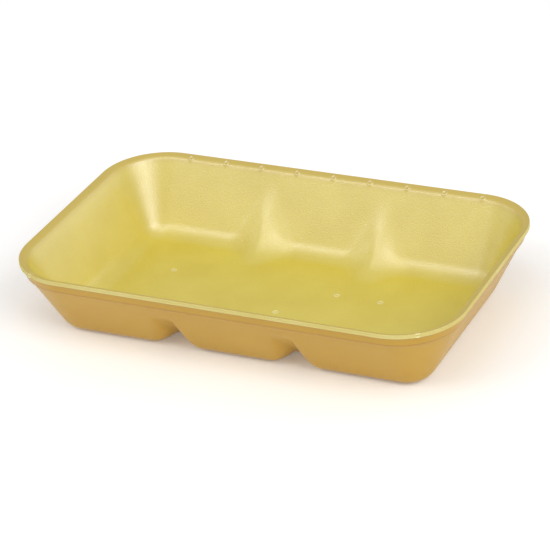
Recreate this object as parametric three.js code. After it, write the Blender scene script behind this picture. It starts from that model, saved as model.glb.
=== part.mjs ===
// A foam food tray: one sheet of expanded polystyrene, pressed hot into a deep rounded
// rectangle with a short flared rim, and trimmed all round. Two darts stiffen each long
// side: notches under the tray, and soft swellings inside it.
//
// Millimetres, +Z up, +X along the length. The origin is the middle of the base, on the
// surface that the tray stands on.
//
// The tray is a closed skin of rings. Each ring is the rim's outline drawn in by an inset,
// at one height, and the darts lift it where they cross it. The rings run from the middle
// of the base out and up to the trimmed edge, over it, and down inside to the floor.
import * as THREE from "three";

// Driving dimensions.
const LENGTH = 250;
const WIDTH = 156;
const HEIGHT = 43.4;
const CORNER_RADIUS = 34.3; // of the rim's outline, seen from above
const FOAM = 3.7; // thickness of the sheet
const WALL_LEAN = THREE.MathUtils.degToRad(30); // of the long sides, from upright
const END_STEEPER = 2.1; // at the base, the ends lie this much further out than the sides

// The rim.
const EDGE_HEIGHT = 2.4; // the trimmed face round the outside
const FLANGE_SLOPE = 0.3; // the flange rises outwards
const FLANGE_ROUNDING = 3.6; // where the flange turns down into the wall
const NECK_INSET = 0.9; // the band under the trimmed face starts this far in
const NECK_DROP = 2.7; // below the rim's top
const CREASE_INSET = 3.7; // the fold at the foot of that band
const CREASE_DROP = 8.1;
const CREASE_STEP = 0.5; // the band stands out from the wall by this much

// The bends between the walls and the base.
const OUTER_BEND = 11.5;
const INNER_BEND = 13;

// The darts. Each is a tent with a ridge that falls from the wall to the base.
const DART_OFFSET = 34; // each side of the middle of a long side
const DART_TOP_INSET = 8.8; // where the ridge leaves the wall, under the tray
const DART_FOOT_INSET = 39.2; // where it reaches the base
const RIDGE_FOAM = 2.2; // the sheet is pressed this thin along the ridge

// Fineness of the skin.
const CORNER_STEPS = 8;
const BEND_STEPS = 4;
const BASE_STEPS = 5;
const WALL_STEPS = 3;
const CREST_STEPS = 4;
const ROUNDING_STEPS = 3;
const FLANK_REACH = 7; // points are kept close to this distance from a flank's foot
const DART_HALF_SPAN = 20; // stretch of the long side that takes close points
const TIGHTEST_CORNER = 5; // the innermost rings keep this much roundness
const BASE_RING_INSET = 46; // the flat middle starts here

// Sizes that follow.
const WALL_RUN = Math.tan(WALL_LEAN); // inset gained for each millimetre down the wall
const CREASE_HEIGHT = HEIGHT - CREASE_DROP;
const BEND_TURN = Math.PI / 2 - WALL_LEAN;
const DART_TOP = CREASE_HEIGHT - (DART_TOP_INSET - CREASE_INSET) / WALL_RUN;
const RIDGE_SLOPE = DART_TOP / (DART_FOOT_INSET - DART_TOP_INSET);
const RIDGE_LIFT = RIDGE_FOAM * Math.hypot(1, RIDGE_SLOPE); // of the sheet's inner face
const FLANGE_WIDTH = wallInset(HEIGHT, FOAM) / (1 - FLANGE_SLOPE * WALL_RUN); // seen from above

// The two faces of the sheet: how deep each lies in it, its bend, and the tent of its darts.
// A tent's ridge narrows from its half width at the top to the one at its foot, and two
// flanks fall from it. The blends are the heights over which it is eased into the skin: at
// its crest, and more by so much down along its flanks. The fold between ridge and flank
// is sharp under the tray and round inside it.
const UNDER = {
  depth: 0,
  bend: OUTER_BEND,
  lift: 0,
  ridge: { top: 5.4, taper: 0.34, foot: 0.8 },
  flankSlope: 2.4,
  blend: { crest: 1.5, flank: 23 },
  sharpness: 10,
};
const INSIDE = {
  depth: FOAM,
  bend: INNER_BEND,
  lift: RIDGE_LIFT,
  ridge: { top: 3, taper: 0, foot: 3 },
  flankSlope: 0.9,
  blend: { crest: 6, flank: 2 },
  sharpness: 3,
};

// Inset of the wall at a height, for the face that lies at a depth in the sheet.
function wallInset(height, depth) {
  return CREASE_INSET + (CREASE_HEIGHT - height) * WALL_RUN + depth / Math.cos(WALL_LEAN);
}

// How far a height is raised by another one, eased over a blend where they are nearly equal.
function raise(height, other, blend) {
  const near = Math.max(blend - Math.abs(height - other), 0) / blend;
  return Math.max(other - height, 0) + near * near * blend * 0.25;
}

// The smaller of two lifts, rounded where they are nearly equal. A higher sharpness rounds
// less.
function smallerLift(a, b, sharpness) {
  const larger = Math.max(a, b);
  const share = larger > 0 ? Math.min(a, b) / larger : 0;
  return Math.min(a, b) / (1 + share ** sharpness) ** (1 / sharpness);
}

// Height of a dart's ridge at an inset, and half its width there.
function ridgeHeight(inset, face) {
  return RIDGE_SLOPE * (DART_FOOT_INSET - inset) + face.lift;
}
function ridgeHalfWidth(inset, face) {
  return Math.max(face.ridge.top - face.ridge.taper * (inset - DART_TOP_INSET), face.ridge.foot);
}

// Height of the skin over a point of the plan where its section has a given height.
function skinHeight(x, y, height, face) {
  const along = Math.abs(Math.abs(x) - DART_OFFSET);
  const inset = WIDTH / 2 - Math.abs(y);
  const ridge = ridgeHeight(inset, face);
  const flank = ridge - face.flankSlope * (along - ridgeHalfWidth(inset, face));
  const low = Math.max(1 - height / DART_TOP, 0);
  const ridgeLift = raise(height, ridge, face.blend.crest);
  const flankLift = raise(height, flank, face.blend.crest + face.blend.flank * low);
  return height + smallerLift(ridgeLift, flankLift, face.sharpness);
}

// Points of the skin's section, [inset, height], evenly along a straight stretch.
function straight(from, to, steps) {
  return Array.from({ length: steps }, (_, k) => {
    const share = (k + 1) / steps;
    return [from[0] + (to[0] - from[0]) * share, from[1] + (to[1] - from[1]) * share];
  });
}

// Points of an arc of the section round a centre. Angles turn from straight down
// towards the outside of the tray.
function arc(centre, radius, start, end, steps) {
  return Array.from({ length: steps + 1 }, (_, k) => {
    const angle = start + ((end - start) * k) / steps;
    return [centre[0] - radius * Math.sin(angle), centre[1] - radius * Math.cos(angle)];
  });
}

// Base or floor, bend and wall of one face of the sheet, from the middle outwards. The
// wall's points are closest where the darts' crests leave it.
function panSection(face) {
  const tangent = face.bend * Math.tan(BEND_TURN / 2);
  const bendCentre = [wallInset(face.depth, face.depth) + tangent, face.depth + face.bend];
  const flatStart = [BASE_RING_INSET, face.depth];
  const flat = straight(flatStart, [bendCentre[0], face.depth], BASE_STEPS).slice(0, -1);
  const bend = arc(bendCentre, face.bend, 0, BEND_TURN, BEND_STEPS);
  const onWall = (height) => [wallInset(height, face.depth), height];
  const wallFall = RIDGE_SLOPE * WALL_RUN;
  const depthFall = RIDGE_SLOPE * (face.depth / Math.cos(WALL_LEAN));
  const crest = DART_TOP + (face.lift - depthFall) / (1 - wallFall);
  const ease = face.blend.crest / (1 - wallFall);
  const wall = straight(bend.at(-1), onWall(crest - ease), WALL_STEPS);
  const crestRows = straight(onWall(crest - ease), onWall(crest + ease), CREST_STEPS);
  return [flatStart, ...flat, ...bend, ...wall, ...crestRows];
}

// The outside of the rim: crease, band and trimmed face.
function rimSection() {
  return [
    [CREASE_INSET, CREASE_HEIGHT],
    [CREASE_INSET - CREASE_STEP, CREASE_HEIGHT + CREASE_STEP],
    [NECK_INSET, HEIGHT - NECK_DROP],
    [0, HEIGHT - EDGE_HEIGHT],
    [0, HEIGHT],
  ];
}

// The top of the flange and its rounded turn down into the inner wall.
function flangeSection() {
  const fall = Math.atan(FLANGE_SLOPE);
  const turn = Math.PI / 2 - WALL_LEAN - fall;
  const tangent = FLANGE_ROUNDING * Math.tan(turn / 2);
  const flat = FLANGE_WIDTH / Math.cos(fall) - tangent;
  const start = [flat * Math.cos(fall), HEIGHT - flat * Math.sin(fall)];
  const centre = [
    start[0] - FLANGE_ROUNDING * Math.sin(fall),
    start[1] - FLANGE_ROUNDING * Math.cos(fall),
  ];
  return arc(centre, FLANGE_ROUNDING, Math.PI + fall, Math.PI + fall + turn, ROUNDING_STEPS);
}

// Places along half a long side, at a point of a face's section: the middle, then close
// points across the dart, in step with its ridge and its flanks.
function longSideStations([inset, height], face) {
  const fold = ridgeHalfWidth(inset, face);
  const fall = Math.max(ridgeHeight(inset, face) - height, 0);
  const foot = fold + Math.max(fall / face.flankSlope, FLANK_REACH / 2);
  const half = [
    fold,
    (fold + foot) / 2,
    foot,
    foot + FLANK_REACH / 2,
    foot + FLANK_REACH,
    DART_HALF_SPAN,
  ];
  const across = [...half.map((u) => -u).reverse(), 0, ...half];
  return [0, ...across.map((u) => DART_OFFSET + u)];
}

// A quarter of a ring, from the middle of the back round to the middle of the right end.
function quarterRing(point, face) {
  const [inset, height] = point;
  const bendTop = face.depth + face.bend * (1 - Math.cos(BEND_TURN));
  const down = (CREASE_HEIGHT - height) / (CREASE_HEIGHT - bendTop);
  const endInset = inset - END_STEEPER * THREE.MathUtils.clamp(down, 0, 1);
  const radius = Math.max(CORNER_RADIUS - (inset + endInset) / 2, TIGHTEST_CORNER);
  const side = WIDTH / 2 - inset;
  const end = LENGTH / 2 - endInset;
  const points = longSideStations(point, face).map((x) => [x, side]);
  for (let k = 0; k <= CORNER_STEPS; k++) {
    const angle = (Math.PI / 2) * (1 - k / CORNER_STEPS);
    points.push([
      end - radius + radius * Math.cos(angle),
      side - radius + radius * Math.sin(angle),
    ]);
  }
  points.push([end, 0]);
  return points;
}

// A whole ring of one face at a point of its section, clockwise: the quarter and its
// three mirror images, lifted by the darts.
function skinRing(point, face) {
  const quarter = quarterRing(point, face);
  const back = [...quarter].reverse();
  const plan = [
    ...quarter.slice(0, -1),
    ...back.map(([x, y]) => [x, -y]).slice(0, -1),
    ...quarter.map(([x, y]) => [-x, -y]).slice(0, -1),
    ...back.map(([x, y]) => [-x, y]).slice(0, -1),
  ];
  return plan.map(([x, y]) => new THREE.Vector3(x, y, skinHeight(x, y, point[1], face)));
}

// All the rings, from the middle of the base, over the rim, to the middle of the floor.
function trayRings() {
  const under = [...panSection(UNDER), ...rimSection()];
  const inside = [...flangeSection(), ...panSection(INSIDE).reverse()];
  return [
    ...under.map((point) => skinRing(point, UNDER)),
    ...inside.map((point) => skinRing(point, INSIDE)),
  ];
}

// Joins the rings into one closed skin that faces out. Each four-sided patch is split
// along its shorter diagonal.
function skinGeometry(rings) {
  const count = rings[0].length;
  const points = rings.flat();
  const index = [];
  for (let row = 0; row < rings.length - 1; row++) {
    for (let k = 0; k < count; k++) {
      const next = (k + 1) % count;
      const a = row * count + k;
      const b = row * count + next;
      const c = (row + 1) * count + next;
      const d = (row + 1) * count + k;
      if (points[a].distanceTo(points[c]) < points[b].distanceTo(points[d])) {
        index.push(a, c, b, a, d, c);
      } else {
        index.push(a, d, b, b, d, c);
      }
    }
  }
  const baseMiddle = points.push(new THREE.Vector3(0, 0, 0)) - 1;
  const floorMiddle = points.push(new THREE.Vector3(0, 0, FOAM)) - 1;
  const lastRow = (rings.length - 1) * count;
  for (let k = 0; k < count; k++) {
    const next = (k + 1) % count;
    index.push(baseMiddle, k, next);
    index.push(floorMiddle, lastRow + next, lastRow + k);
  }
  const geometry = new THREE.BufferGeometry().setFromPoints(points);
  geometry.setIndex(index);
  geometry.computeVertexNormals();
  return geometry;
}

function tray() {
  const foam = new THREE.MeshStandardMaterial({
    color: 0xd8c060,
    roughness: 0.45,
    metalness: 0,
  });
  const mesh = new THREE.Mesh(skinGeometry(trayRings()), foam);
  mesh.name = "tray";
  return mesh;
}

const model = new THREE.Group();
model.add(tray());

export default model;
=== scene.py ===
import math
from collections import namedtuple

import bmesh
import bpy
from mathutils import Matrix, Vector


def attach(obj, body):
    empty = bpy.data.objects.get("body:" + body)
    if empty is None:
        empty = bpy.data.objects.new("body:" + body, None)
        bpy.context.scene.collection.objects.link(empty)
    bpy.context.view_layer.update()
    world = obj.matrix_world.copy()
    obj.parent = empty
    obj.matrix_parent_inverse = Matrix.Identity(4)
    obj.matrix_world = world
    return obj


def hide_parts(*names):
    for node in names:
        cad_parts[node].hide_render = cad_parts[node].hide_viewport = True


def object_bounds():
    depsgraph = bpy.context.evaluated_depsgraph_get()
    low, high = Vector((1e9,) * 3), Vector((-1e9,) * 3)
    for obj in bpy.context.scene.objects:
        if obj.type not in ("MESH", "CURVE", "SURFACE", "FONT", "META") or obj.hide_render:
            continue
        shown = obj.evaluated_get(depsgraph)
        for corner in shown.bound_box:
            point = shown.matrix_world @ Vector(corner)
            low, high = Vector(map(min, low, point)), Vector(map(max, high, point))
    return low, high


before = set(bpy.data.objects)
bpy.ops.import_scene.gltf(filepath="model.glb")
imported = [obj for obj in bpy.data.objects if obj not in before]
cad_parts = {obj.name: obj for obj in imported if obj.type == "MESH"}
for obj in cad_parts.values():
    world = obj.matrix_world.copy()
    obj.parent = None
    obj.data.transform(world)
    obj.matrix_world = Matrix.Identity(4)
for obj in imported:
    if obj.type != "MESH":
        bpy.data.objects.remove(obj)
CAD_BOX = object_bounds()

# A foam food tray: one sheet of expanded polystyrene, pressed hot into a deep rounded
# rectangle with a short flared rim, trimmed all round, with two darts in each long side.
# All sizes are in metres. A place on the sheet's section is (inset, height): how far it
# lies inside the rim's outline, and how high above the surface that the tray stands on.

# Sizes that the tray's solid has.
LENGTH, WIDTH, HEIGHT = CAD_BOX[1] - CAD_BOX[0]
CORNER_RADIUS = 0.0343
FOAM = 0.0037
WALL_LEAN = math.radians(30)
END_STEEPER = 0.0021

EDGE_HEIGHT = 0.0024
FLANGE_SLOPE = 0.3
FLANGE_ROUNDING = 0.0036
NECK_INSET = 0.0009
NECK_DROP = 0.0027
CREASE_INSET = 0.0037
CREASE_DROP = 0.0081
CREASE_STEP = 0.0005

OUTER_BEND = 0.0115
INNER_BEND = 0.013

DART_OFFSET = 0.034
DART_TOP_INSET = 0.0088
DART_FOOT_INSET = 0.0392
RIDGE_FOAM = 0.0022

# Sizes that follow.
WALL_RUN = math.tan(WALL_LEAN)
BEND_TURN = math.pi / 2 - WALL_LEAN
CREASE_HEIGHT = HEIGHT - CREASE_DROP
DART_TOP = CREASE_HEIGHT - (DART_TOP_INSET - CREASE_INSET) / WALL_RUN
RIDGE_SLOPE = DART_TOP / (DART_FOOT_INSET - DART_TOP_INSET)
RIDGE_LIFT = RIDGE_FOAM * math.hypot(1, RIDGE_SLOPE)
CORNER_X = LENGTH / 2 - CORNER_RADIUS
CORNER_Y = WIDTH / 2 - CORNER_RADIUS

# The two faces of the sheet: how deep each lies in it, its bend, and the tent of its darts.
# A tent's ridge narrows from its half width at the top to the one at its foot, and two
# flanks fall from it. The blends are the heights over which it is eased into the skin, at
# its crest and down along its flanks. The fold between ridge and flank is sharp under the
# tray and round inside it.
Face = namedtuple(
    "Face",
    "depth bend lift ridge_top ridge_taper ridge_foot flank_slope crest_blend flank_blend sharpness",
)
UNDER = Face(
    depth=0,
    bend=OUTER_BEND,
    lift=0,
    ridge_top=0.0054,
    ridge_taper=0.34,
    ridge_foot=0.0008,
    flank_slope=2.4,
    crest_blend=0.0015,
    flank_blend=0.023,
    sharpness=10,
)
INSIDE = Face(
    depth=FOAM,
    bend=INNER_BEND,
    lift=RIDGE_LIFT,
    ridge_top=0.003,
    ridge_taper=0,
    ridge_foot=0.003,
    flank_slope=0.9,
    crest_blend=0.006,
    flank_blend=0.002,
    sharpness=3,
)

# Fineness of the modelled skin.
ROW_STEP = 0.0012
FINE_STEP = 0.0003
COLUMN_STEP = 0.0011
MIDDLE_STEP = 0.0020
CORNER_STEPS = 30
MERGE = 0.00001

# The trimmed edge: its two arrises, and the fine line that the cutter leaves between them.
ARRIS = 0.00025
CUT_LINE_DEPTH = 0.00016
CUT_LINE_WIDTH = 0.0003

# Marks of the press: a low ring with a small pit in it, in a row on the back of the rim,
# on the front of the rim, and on the floor.
MARK_RADIUS = 0.0012
MARK_HEIGHT = 0.00030
MARK_PIT = 0.00045
MARK_REACH = 0.0025
MARK_CUTS = 4
RIM_MARK_PITCH = 0.0218
RIM_MARK_START = 0.0019
RIM_MARK_INSET = 0.0030
RIM_MARK_STEPS = range(-4, 5)
RIM_MARKS = [
    (RIM_MARK_START + RIM_MARK_PITCH * step, WIDTH / 2 - RIM_MARK_INSET) for step in RIM_MARK_STEPS
]
FRONT_MARKS = [(-0.1060, -0.0729), (0.1097, -0.0707)]
FLOOR_MARKS = [(-0.0711, 0.0165), (0.0022, -0.0097), (0.0265, 0.0164), (0.0519, 0.0159)]

# The camera of the photograph.
CAMERA_TURN = math.radians(26.837)
CAMERA_RISE = math.radians(28.622)
CAMERA_ROLL = math.radians(-4.847)
CAMERA_DISTANCE = 1.39992
CAMERA_SIDESTEP = 0.00071
CAMERA_DROP = -0.0199
CAMERA_LENS = 173.9
SENSOR = 36

# The studio's lights: the direction each shines from, its size and its power.
LIGHT_DISTANCE = 3
LIGHTS = {
    "right softbox": ((0.67, -0.38, 0.64), 1.7, 38),
    "left softbox": ((-0.42, -0.59, 0.69), 1.2, 14),
    "overhead softbox": ((0.05, -0.40, 0.90), 1.6, 13),
    "left fill": ((-0.90, -0.10, 0.42), 1.2, 6),
    "back reflector": ((0.62, 0.75, 0.2), 1.6, 10),
}
SKY_STRENGTH = 0.48
FLOOR_SIZE = 8
FLOOR_PAPER = (0.94, 0.94, 0.94, 1)
FLOOR_GLOW = 0.15
WHITE = (1, 1, 1, 1)


# ---------------------------------------------------------------- the sheet's section


def wall_inset(height, depth):
    """Inset of the wall at a height, for the face that lies at a depth in the sheet."""
    return CREASE_INSET + (CREASE_HEIGHT - height) * WALL_RUN + depth / math.cos(WALL_LEAN)


def straight(start, end, step=ROW_STEP):
    """Points of the section along a straight stretch, after its start."""
    count = math.ceil(math.dist(start, end) / step)
    return [
        (start[0] + (end[0] - start[0]) * k / count, start[1] + (end[1] - start[1]) * k / count)
        for k in range(1, count + 1)
    ]


def arc(centre, radius, start, end, step=ROW_STEP):
    """Points of the section round a centre. Angles turn from straight down outwards."""
    count = math.ceil(radius * abs(end - start) / step)
    angles = [start + (end - start) * k / count for k in range(count + 1)]
    return [(centre[0] - radius * math.sin(a), centre[1] - radius * math.cos(a)) for a in angles]


def pan_section(face):
    """Base or floor, and the bend up to the wall, from the corner's middle outwards."""
    tangent = face.bend * math.tan(BEND_TURN / 2)
    centre = (wall_inset(face.depth, face.depth) + tangent, face.depth + face.bend)
    start = (CORNER_RADIUS, face.depth)
    flat = straight(start, (centre[0], face.depth))[:-1]
    return [start] + flat + arc(centre, face.bend, 0, BEND_TURN)


def edge_section():
    """The trimmed face, up: a rounded arris, the cutter's line, and the other arris."""
    low = HEIGHT - EDGE_HEIGHT
    rows = math.ceil(EDGE_HEIGHT / FINE_STEP)
    points = []
    for k in range(1, rows):
        height = low + EDGE_HEIGHT * k / rows
        from_line = (height - low - EDGE_HEIGHT / 2) / CUT_LINE_WIDTH
        points.append((CUT_LINE_DEPTH * math.exp(-from_line**2), height))
    return [(ARRIS, low + ARRIS * FLANGE_SLOPE)] + points + [(ARRIS, HEIGHT)]


def under_section():
    """The sheet's lower face and its trimmed edge, from the base to the top of the rim."""
    pan = pan_section(UNDER)
    crease = (CREASE_INSET, CREASE_HEIGHT)
    wall = straight(pan[-1], crease)
    fold_centre = (CREASE_INSET - CREASE_STEP, CREASE_HEIGHT + CREASE_STEP)
    fold = arc(fold_centre, CREASE_STEP, 0, math.pi / 2, FINE_STEP)
    neck_top = (NECK_INSET, HEIGHT - NECK_DROP)
    neck = straight(fold[-1], neck_top, 2 * FINE_STEP)
    return pan + wall[:-1] + fold + neck + edge_section()


def inside_section():
    """The sheet's upper face, from the floor to the top of the rim."""
    pan = pan_section(INSIDE)
    fall = math.atan(FLANGE_SLOPE)
    turn = math.pi / 2 - WALL_LEAN - fall
    tangent = FLANGE_ROUNDING * math.tan(turn / 2)
    width = wall_inset(HEIGHT, FOAM) / (1 - FLANGE_SLOPE * WALL_RUN)
    flat = width / math.cos(fall) - tangent
    start = (flat * math.cos(fall), HEIGHT - flat * math.sin(fall))
    centre = (start[0] - FLANGE_ROUNDING * math.sin(fall), start[1] - FLANGE_ROUNDING * math.cos(fall))
    level = math.pi + fall
    rounding = arc(centre, FLANGE_ROUNDING, level + turn, level, 2 * FINE_STEP)
    wall = straight(pan[-1], rounding[0])
    flange = straight(rounding[-1], (ARRIS, HEIGHT), 2 * FINE_STEP)
    return pan + wall + rounding[1:] + flange


# ---------------------------------------------------------------- the darts


def lift_over(height, other, blend):
    """How far another height raises one, eased over a blend where they are nearly equal."""
    near = max(blend - abs(height - other), 0) / blend
    return max(other - height, 0) + near * near * blend / 4


def smaller_lift(a, b, sharpness):
    """The smaller of two lifts, with a rounding where they are nearly equal."""
    larger = max(a, b)
    share = min(a, b) / larger if larger > 0 else 0
    return min(a, b) / (1 + share**sharpness) ** (1 / sharpness)


def skin_height(x, y, height, face):
    """Height of the skin over a point of the plan where its section has a given height."""
    along = abs(abs(x) - DART_OFFSET)
    inset = WIDTH / 2 - abs(y)
    ridge = RIDGE_SLOPE * (DART_FOOT_INSET - inset) + face.lift
    half_width = max(face.ridge_top - face.ridge_taper * (inset - DART_TOP_INSET), face.ridge_foot)
    flank = ridge - face.flank_slope * (along - half_width)
    low = max(1 - height / DART_TOP, 0)
    ridge_lift = lift_over(height, ridge, face.crest_blend)
    flank_lift = lift_over(height, flank, face.crest_blend + face.flank_blend * low)
    return height + smaller_lift(ridge_lift, flank_lift, face.sharpness)


# ---------------------------------------------------------------- working on a mesh


def select_only(thing):
    """Makes one object the selected and active one."""
    bpy.ops.object.select_all(action="DESELECT")
    thing.select_set(True)
    bpy.context.view_layer.objects.active = thing


def pick_edges(thing, wanted):
    """In edit mode, selects the edges whose two ends both pass a test."""
    bpy.ops.mesh.select_mode(type="EDGE")
    bpy.ops.mesh.select_all(action="DESELECT")
    mesh = bmesh.from_edit_mesh(thing.data)
    for edge in mesh.edges:
        edge.select_set(all(wanted(v.co) for v in edge.verts))
    mesh.select_flush_mode()
    bmesh.update_edit_mesh(thing.data)


def draw_out(direction, length, step):
    """In edit mode, extrudes the selected edges along a direction in even steps."""
    count = math.ceil(length / step)
    move = Vector(direction) * (length / count)
    for _ in range(count):
        bpy.ops.mesh.extrude_region_move(TRANSFORM_OT_translate={"value": move})


def reshape(thing, new_place):
    """Moves every vertex of a mesh to a place worked out from where it is."""
    for vertex in thing.data.vertices:
        vertex.co = new_place(vertex.co)
    thing.data.update()


def mirror_quarter(thing):
    """Completes a quarter of the tray to the whole of it."""
    mirror = thing.modifiers.new("other sides", "MIRROR")
    mirror.use_axis = (True, True, False)
    mirror.merge_threshold = MERGE
    select_only(thing)
    bpy.ops.object.modifier_apply(modifier=mirror.name)


# ---------------------------------------------------------------- the tray's skin


def draw_section(name, section):
    """The section as a chain of edges, standing where the corner meets the long side."""
    bpy.ops.object.select_all(action="DESELECT")
    bpy.ops.mesh.primitive_plane_add(size=FOAM, location=(0, 0, 0))
    skin = bpy.context.object
    skin.name = name
    bpy.ops.object.mode_set(mode="EDIT")
    bpy.ops.mesh.select_mode(type="VERT")
    bpy.ops.mesh.select_all(action="SELECT")
    bpy.ops.mesh.merge(type="CENTER")
    places = [Vector((CORNER_X, WIDTH / 2 - inset, height)) for inset, height in section]
    bpy.ops.transform.translate(value=places[0])
    for here, there in zip(places, places[1:]):
        bpy.ops.mesh.extrude_region_move(TRANSFORM_OT_translate={"value": there - here})
    return skin


def turn_corner():
    """Spins the section round the corner's middle, to the end of the tray."""
    bpy.ops.mesh.select_all(action="SELECT")
    bpy.ops.mesh.spin(
        steps=CORNER_STEPS, angle=math.pi / 2, center=(CORNER_X, CORNER_Y, 0), axis=(0, 0, 1)
    )


def run_sides(skin):
    """Draws the section on along the long side and the end, as far as their middles."""
    pick_edges(skin, lambda p: abs(p.x - CORNER_X) < MERGE and p.y > CORNER_Y - MERGE)
    draw_out((-1, 0, 0), CORNER_X, COLUMN_STEP)
    pick_edges(skin, lambda p: abs(p.y - CORNER_Y) < MERGE and p.x > CORNER_X - MERGE)
    draw_out((0, -1, 0), CORNER_Y, MIDDLE_STEP)


def fill_middle(skin):
    """Draws the flat middle from the long side's inner line, and closes the seams."""
    pick_edges(skin, lambda p: abs(p.y - CORNER_Y) < MERGE and p.x < CORNER_X + MERGE)
    draw_out((0, -1, 0), CORNER_Y, MIDDLE_STEP)
    bpy.ops.mesh.select_all(action="SELECT")
    bpy.ops.mesh.remove_doubles(threshold=MERGE)
    bpy.ops.object.mode_set(mode="OBJECT")


def steepen_end(place, face):
    """Moves the lower part of the end wall and of the corner out, as the tray has it."""
    bend_top = face.depth + face.bend * (1 - math.cos(BEND_TURN))
    down = (CREASE_HEIGHT - place.z) / (CREASE_HEIGHT - bend_top)
    half = END_STEEPER / 2 * min(max(down, 0), 1)
    out = Vector((max(place.x - CORNER_X, 0), max(place.y - CORNER_Y, 0)))
    turned = out / max(out.length, 2 * ROW_STEP)
    x = place.x + half * (min(place.x, CORNER_X) / CORNER_X + turned.x)
    y = place.y + half * (turned.y - min(place.y, CORNER_Y) / CORNER_Y)
    return Vector((x, y, place.z))


def lift_darts(place, face):
    """Lifts a point of the skin by the dart that crosses it."""
    return Vector((place.x, place.y, skin_height(place.x, place.y, place.z, face)))


def press_skin(name, section, face):
    """One face of the sheet, whole."""
    skin = draw_section(name, section)
    turn_corner()
    run_sides(skin)
    fill_middle(skin)
    reshape(skin, lambda place: lift_darts(steepen_end(place, face), face))
    mirror_quarter(skin)
    return skin


def join_sheet(under, inside):
    """The two faces joined at the rim into one closed sheet."""
    select_only(under)
    inside.select_set(True)
    bpy.ops.object.join()
    bpy.ops.object.mode_set(mode="EDIT")
    bpy.ops.mesh.select_mode(type="VERT")
    bpy.ops.mesh.select_all(action="SELECT")
    bpy.ops.mesh.remove_doubles(threshold=MERGE)
    bpy.ops.mesh.normals_make_consistent(inside=False)
    bpy.ops.object.mode_set(mode="OBJECT")
    under.name = "foam_sheet"
    return under


# ---------------------------------------------------------------- marks of the press


def cut_finer(sheet, marks):
    """Divides the upper skin finely round each mark."""
    bpy.ops.object.mode_set(mode="EDIT")
    bpy.ops.mesh.select_mode(type="FACE")
    bpy.ops.mesh.select_all(action="DESELECT")
    mesh = bmesh.from_edit_mesh(sheet.data)
    for face in mesh.faces:
        middle = face.calc_center_median()
        near = any(math.dist(middle.xy, mark) < MARK_REACH for mark in marks)
        face.select_set(near and face.normal.z > 0)
    bmesh.update_edit_mesh(sheet.data)
    bpy.ops.mesh.subdivide(number_cuts=MARK_CUTS)
    bpy.ops.object.mode_set(mode="OBJECT")


def mark_relief(distance):
    """Height of a mark's ring and pit at a distance from its middle."""
    ring = MARK_HEIGHT * math.exp(-(((distance - MARK_RADIUS) / (MARK_RADIUS / 3)) ** 2))
    pit = MARK_PIT * math.exp(-((distance / (MARK_RADIUS / 2)) ** 2))
    return ring - pit


def press_marks(sheet):
    """Raises the ring of each mark, sinks its pit, and notes where they are."""
    marks = RIM_MARKS + FRONT_MARKS + FLOOR_MARKS
    cut_finer(sheet, marks)
    pit = sheet.data.attributes.new("mark_pit", "FLOAT", "POINT")
    ring = sheet.data.attributes.new("mark_ring", "FLOAT", "POINT")
    outwards = [vertex.normal.copy() for vertex in sheet.data.vertices]
    for vertex, normal, sunk, raised in zip(sheet.data.vertices, outwards, pit.data, ring.data):
        distance = min(math.dist(vertex.co.xy, mark) for mark in marks)
        if distance < MARK_REACH and normal.z > 0:
            relief = mark_relief(distance)
            sunk.value = max(-relief / MARK_PIT, 0)
            raised.value = max(relief / MARK_HEIGHT, 0)
            vertex.co += normal * relief
    sheet.data.update()


# ---------------------------------------------------------------- the finishes


def socket_values(node, **values):
    """Sets a node's input sockets by name, with spaces for underscores."""
    for name, value in values.items():
        node.inputs[name.replace("_", " ")].default_value = value


def foam_cells_group():
    """Effect: the fine closed cells of pressed foam, as a height, a speckle and a cloud."""
    group = bpy.data.node_groups.new("foam cells", "ShaderNodeTree")
    face = group.interface
    face.new_socket("Cell Size", in_out="INPUT", socket_type="NodeSocketFloat")
    face.new_socket("Height", in_out="OUTPUT", socket_type="NodeSocketFloat")
    face.new_socket("Speckle", in_out="OUTPUT", socket_type="NodeSocketFloat")
    face.new_socket("Cloud", in_out="OUTPUT", socket_type="NodeSocketFloat")
    nodes, links = group.nodes, group.links
    given = nodes.new("NodeGroupInput")
    out = nodes.new("NodeGroupOutput")
    place = nodes.new("ShaderNodeTexCoord")
    per_metre = nodes.new("ShaderNodeMath")
    per_metre.operation = "DIVIDE"
    per_metre.inputs[0].default_value = 1
    links.new(given.outputs["Cell Size"], per_metre.inputs[1])

    cells = nodes.new("ShaderNodeTexVoronoi")
    cells.feature = "SMOOTH_F1"
    grain = nodes.new("ShaderNodeTexNoise")
    socket_values(grain, Detail=3, Roughness=0.65)
    cloud = nodes.new("ShaderNodeTexNoise")
    socket_values(cloud, Scale=45, Detail=2)
    for texture in (cells, grain, cloud):
        links.new(place.outputs["Object"], texture.inputs["Vector"])
    links.new(per_metre.outputs[0], cells.inputs["Scale"])
    links.new(per_metre.outputs[0], grain.inputs["Scale"])

    domed = nodes.new("ShaderNodeMath")
    domed.operation = "MULTIPLY_ADD"
    domed.inputs[1].default_value = -1
    links.new(cells.outputs["Distance"], domed.inputs[0])
    links.new(grain.outputs["Fac"], domed.inputs[2])
    links.new(domed.outputs[0], out.inputs["Height"])
    links.new(grain.outputs["Fac"], out.inputs["Speckle"])
    links.new(cloud.outputs["Fac"], out.inputs["Cloud"])
    return group


def press_marks_group():
    """Effect: where the rings and the pits of the press are, which take a painted highlight and
    painted shade.
    """
    group = bpy.data.node_groups.new("press marks", "ShaderNodeTree")
    out = group.nodes.new("NodeGroupOutput")
    for name, stored in (("Ring", "mark_ring"), ("Pit", "mark_pit")):
        group.interface.new_socket(name, in_out="OUTPUT", socket_type="NodeSocketFloat")
        reader = group.nodes.new("ShaderNodeAttribute")
        reader.attribute_name = stored
        group.links.new(reader.outputs["Fac"], out.inputs[name])
    return group


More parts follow.
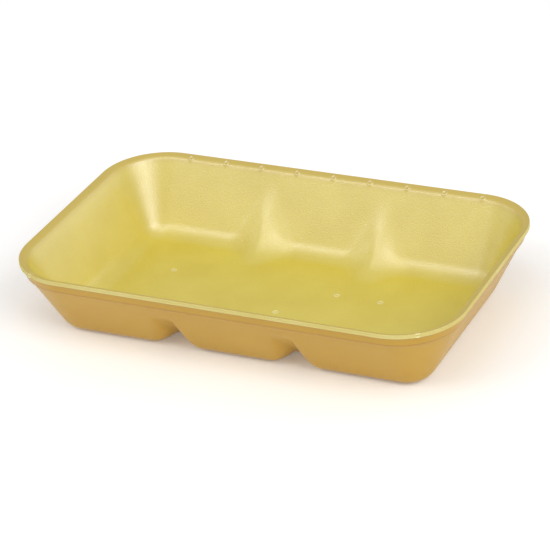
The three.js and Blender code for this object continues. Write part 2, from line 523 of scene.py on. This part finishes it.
def painted_shade_band_group():
    """Effect: a fine level line of painted shade at a height of the tray, which fades within its
    reach.
    """
    group = bpy.data.node_groups.new("shade line", "ShaderNodeTree")
    face = group.interface
    face.new_socket("Height", in_out="INPUT", socket_type="NodeSocketFloat")
    face.new_socket("Reach", in_out="INPUT", socket_type="NodeSocketFloat")
    face.new_socket("Line", in_out="OUTPUT", socket_type="NodeSocketFloat")
    nodes, links = group.nodes, group.links
    given = nodes.new("NodeGroupInput")
    out = nodes.new("NodeGroupOutput")
    place = nodes.new("ShaderNodeTexCoord")
    parts = nodes.new("ShaderNodeSeparateXYZ")
    links.new(place.outputs["Object"], parts.inputs["Vector"])
    away = nodes.new("ShaderNodeMath")
    away.operation = "SUBTRACT"
    links.new(parts.outputs["Z"], away.inputs[0])
    links.new(given.outputs["Height"], away.inputs[1])
    distance = nodes.new("ShaderNodeMath")
    distance.operation = "ABSOLUTE"
    links.new(away.outputs[0], distance.inputs[0])
    fade = nodes.new("ShaderNodeMapRange")
    socket_values(fade, From_Min=0, To_Min=PAINTED_SHADE_STRENGTH, To_Max=0)
    links.new(given.outputs["Reach"], fade.inputs["From Max"])
    links.new(distance.outputs[0], fade.inputs["Value"])
    links.new(fade.outputs["Result"], out.inputs["Line"])
    return group


def place_effect(tree, group, **values):
    """Places an effect in a material, with its own values."""
    effect = tree.nodes.new("ShaderNodeGroup")
    effect.node_tree = group
    socket_values(effect, **values)
    return effect.outputs


def mix_colour(tree, share, first, second):
    """A node that mixes two colours, each a constant or another node's output."""
    mix = tree.nodes.new("ShaderNodeMix")
    mix.data_type = "RGBA"
    tree.links.new(share, mix.inputs["Factor"])
    for socket, colour in ((mix.inputs["A"], first), (mix.inputs["B"], second)):
        if isinstance(colour, tuple):
            socket.default_value = (*colour, 1)
        else:
            tree.links.new(colour, socket)
    return mix.outputs["Result"]


def spread(tree, value, source, target):
    """A node that maps a stretch of values onto another."""
    ranged = tree.nodes.new("ShaderNodeMapRange")
    tree.links.new(value, ranged.inputs["Value"])
    socket_values(ranged, From_Min=source[0], From_Max=source[1], To_Min=target[0], To_Max=target[1])
    return ranged.outputs["Result"]


# A finish: its two tints, the size and relief of its cells, its range of roughness, its gloss, and the
# colour of its painted shade lines, each with a height and a reach.
Foam = namedtuple("Foam", "deep pale cell_size relief roughness gloss_index shade shade_lines")
UPPER_SKIN = Foam(
    deep=(0.61, 0.47, 0.015),
    pale=(0.76, 0.64, 0.09),
    cell_size=0.0006,
    relief=0.00007,
    roughness=(0.26, 0.52),
    gloss_index=2.5,
    # Painted shade on the top of the rim: this darker colour, strongest at the rim's top and fading
    # over 4.5 mm below it.
    shade=(0.56, 0.38, 0.03),
    shade_lines=[(HEIGHT, 0.0045)],
)
# The lower skin is a shaded copy of the upper skin's foam: its tints are darker and more orange, which
# is painted shade with the orange of light passing through the foam painted in too. Its level lines
# are painted shade along the foot of the tray, in the crease under the rim, and just under the trimmed
# edge's lip.
SHADED_LOWER_SKIN = Foam(
    deep=(0.48, 0.265, 0.004),
    pale=(0.57, 0.34, 0.02),
    cell_size=0.0006,
    relief=0.00006,
    roughness=(0.26, 0.44),
    gloss_index=1.55,
    shade=(0.42, 0.20, 0.02),
    shade_lines=[(0, 0.0012), (CREASE_HEIGHT + CREASE_STEP, 0.0012), (HEIGHT - NECK_DROP, 0.0007)],
)
CUT_EDGE = Foam(
    deep=(0.62, 0.50, 0.12),
    pale=(0.72, 0.66, 0.30),
    cell_size=0.0006,
    relief=0.00025,
    roughness=(0.55, 0.75),
    gloss_index=1.4,
    shade=(0, 0, 0),
    shade_lines=[],
)
# Painted highlight on the rings of the press's marks, and painted shade in their pits.
MARK_RING_HIGHLIGHT = (0.82, 0.76, 0.36)
MARK_PIT_SHADE = (0.60, 0.37, 0.02)
# How strongly the painted shade shows on the middle of a level line.
PAINTED_SHADE_STRENGTH = 0.8
CLOUD_RANGE, CLOUD_SHARE = (0.3, 0.7), (0.25, 0.55)
FLECK_RANGE, FLECK_SHARE = (0.55, 0.75), (0, 0.35)
GRAIN_RANGE = (0.3, 0.7)

# The order of the finishes on the sheet, and how its faces are told apart.
UPPER, LOWER, TRIMMED = range(3)
UPRIGHT = 0.8
SMOOTH_ANGLE = math.radians(40)


def foam_material(name, finish, cells, marks, shade_line):
    """Yellow foam with its cells, its faint clouds, the press's marks with their painted highlight and
    shade, and its level lines of painted shade.
    """
    material = bpy.data.materials.new(name)
    material.use_nodes = True
    tree = material.node_tree
    shader = tree.nodes["Principled BSDF"]
    shader.inputs["IOR"].default_value = finish.gloss_index
    foam = place_effect(tree, cells, Cell_Size=finish.cell_size)
    mark = place_effect(tree, marks)

    clouded = spread(tree, foam["Cloud"], CLOUD_RANGE, CLOUD_SHARE)
    colour = mix_colour(tree, clouded, finish.deep, finish.pale)
    flecked = spread(tree, foam["Speckle"], FLECK_RANGE, FLECK_SHARE)
    colour = mix_colour(tree, flecked, colour, finish.pale)
    # Painted highlight on each mark's ring, and painted shade in its pit.
    colour = mix_colour(tree, mark["Ring"], colour, MARK_RING_HIGHLIGHT)
    colour = mix_colour(tree, mark["Pit"], colour, MARK_PIT_SHADE)
    # Painted shade along each level line: the finish's shade colour mixed in, strongest on the line.
    for height, reach in finish.shade_lines:
        line = place_effect(tree, shade_line, Height=height, Reach=reach)
        colour = mix_colour(tree, line["Line"], colour, finish.shade)
    tree.links.new(colour, shader.inputs["Base Color"])

    rough = spread(tree, foam["Speckle"], GRAIN_RANGE, finish.roughness)
    tree.links.new(rough, shader.inputs["Roughness"])
    bump = tree.nodes.new("ShaderNodeBump")
    socket_values(bump, Strength=1, Distance=finish.relief)
    tree.links.new(foam["Height"], bump.inputs["Height"])
    tree.links.new(bump.outputs["Normal"], shader.inputs["Normal"])
    return material


def finish_of(face):
    """Which finish a face takes: the upper skin's, the lower skin's or the trimmed edge's."""
    high = face.center.z > HEIGHT - EDGE_HEIGHT - ARRIS
    upright = abs(face.normal.z) < UPRIGHT
    outwards = face.normal.xy.dot(face.center.xy) > 0
    if high and upright and outwards:
        return TRIMMED
    return UPPER if face.normal.z > 0 else LOWER


def finish_sheet(sheet):
    """Gives the upper skin its foam, the lower skin a shaded copy of it with painted shade, and the
    trimmed edge its own foam.
    """
    effects = (foam_cells_group(), press_marks_group(), painted_shade_band_group())
    sheet.data.materials.clear()
    sheet.data.materials.append(foam_material("upper foam skin", UPPER_SKIN, *effects))
    # The lower skin's material is the shaded copy: painted shade.
    sheet.data.materials.append(foam_material("lower foam skin", SHADED_LOWER_SKIN, *effects))
    sheet.data.materials.append(foam_material("trimmed foam edge", CUT_EDGE, *effects))
    for face in sheet.data.polygons:
        face.material_index = finish_of(face)
    select_only(sheet)
    bpy.ops.object.shade_smooth_by_angle(angle=SMOOTH_ANGLE)


# ---------------------------------------------------------------- the studio


def add_camera():
    """The camera where the photograph was taken from."""
    turn, rise, roll = CAMERA_TURN, CAMERA_RISE, CAMERA_ROLL
    back = Vector((math.sin(turn) * math.cos(rise), -math.cos(turn) * math.cos(rise), math.sin(rise)))
    level = Vector((math.cos(turn), math.sin(turn), 0))
    upright = back.cross(level)
    right = math.cos(roll) * level + math.sin(roll) * upright
    up = math.cos(roll) * upright - math.sin(roll) * level
    place = CAMERA_DISTANCE * back + CAMERA_SIDESTEP * right + CAMERA_DROP * up
    place.z += HEIGHT
    bpy.ops.object.camera_add()
    camera = bpy.context.object
    camera.data.lens = CAMERA_LENS
    camera.data.sensor_width = SENSOR
    camera.data.dof.use_dof = False
    axes = Matrix((right, up, back)).transposed()
    camera.matrix_world = Matrix.Translation(place) @ axes.to_4x4()
    bpy.context.scene.camera = camera


def add_softbox(name, towards, size, power):
    """A square soft light that looks at the tray from a direction."""
    bpy.ops.object.light_add(type="AREA")
    lamp = bpy.context.object
    lamp.name = name
    lamp.data.size = size
    lamp.data.energy = power
    lamp.location = Vector(towards).normalized() * LIGHT_DISTANCE
    lamp.rotation_euler = lamp.location.to_track_quat("Z", "Y").to_euler()


def add_floor():
    """A pale plain floor, wide enough to fill the view."""
    bpy.ops.object.select_all(action="DESELECT")
    bpy.ops.mesh.primitive_plane_add(size=FLOOR_SIZE, location=(0, 0, 0))
    floor = bpy.context.object
    floor.name = "studio_floor"
    material = bpy.data.materials.new("pale paper floor")
    material.use_nodes = True
    shader = material.node_tree.nodes["Principled BSDF"]
    socket_values(shader, Base_Color=FLOOR_PAPER, Roughness=0.9)
    socket_values(shader, Emission_Color=WHITE, Emission_Strength=FLOOR_GLOW)
    floor.data.materials.append(material)


def add_world():
    """Even pale light from all round."""
    world = bpy.data.worlds.new("studio")
    world.use_nodes = True
    sky = world.node_tree.nodes["Background"]
    socket_values(sky, Color=WHITE, Strength=SKY_STRENGTH)
    bpy.context.scene.world = world


def build_studio():
    """The camera, the floor and the lights."""
    add_camera()
    add_floor()
    add_world()
    for name, (towards, size, power) in LIGHTS.items():
        add_softbox(name, towards, size, power)
    bpy.context.scene.view_settings.view_transform = "Standard"


def build_tray():
    """The whole tray, which stands for its solid."""
    under = press_skin("under_skin", under_section(), UNDER)
    inside = press_skin("inside_skin", inside_section(), INSIDE)
    sheet = join_sheet(under, inside)
    press_marks(sheet)
    finish_sheet(sheet)
    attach(sheet, "root")
    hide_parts("tray")


build_studio()
build_tray()
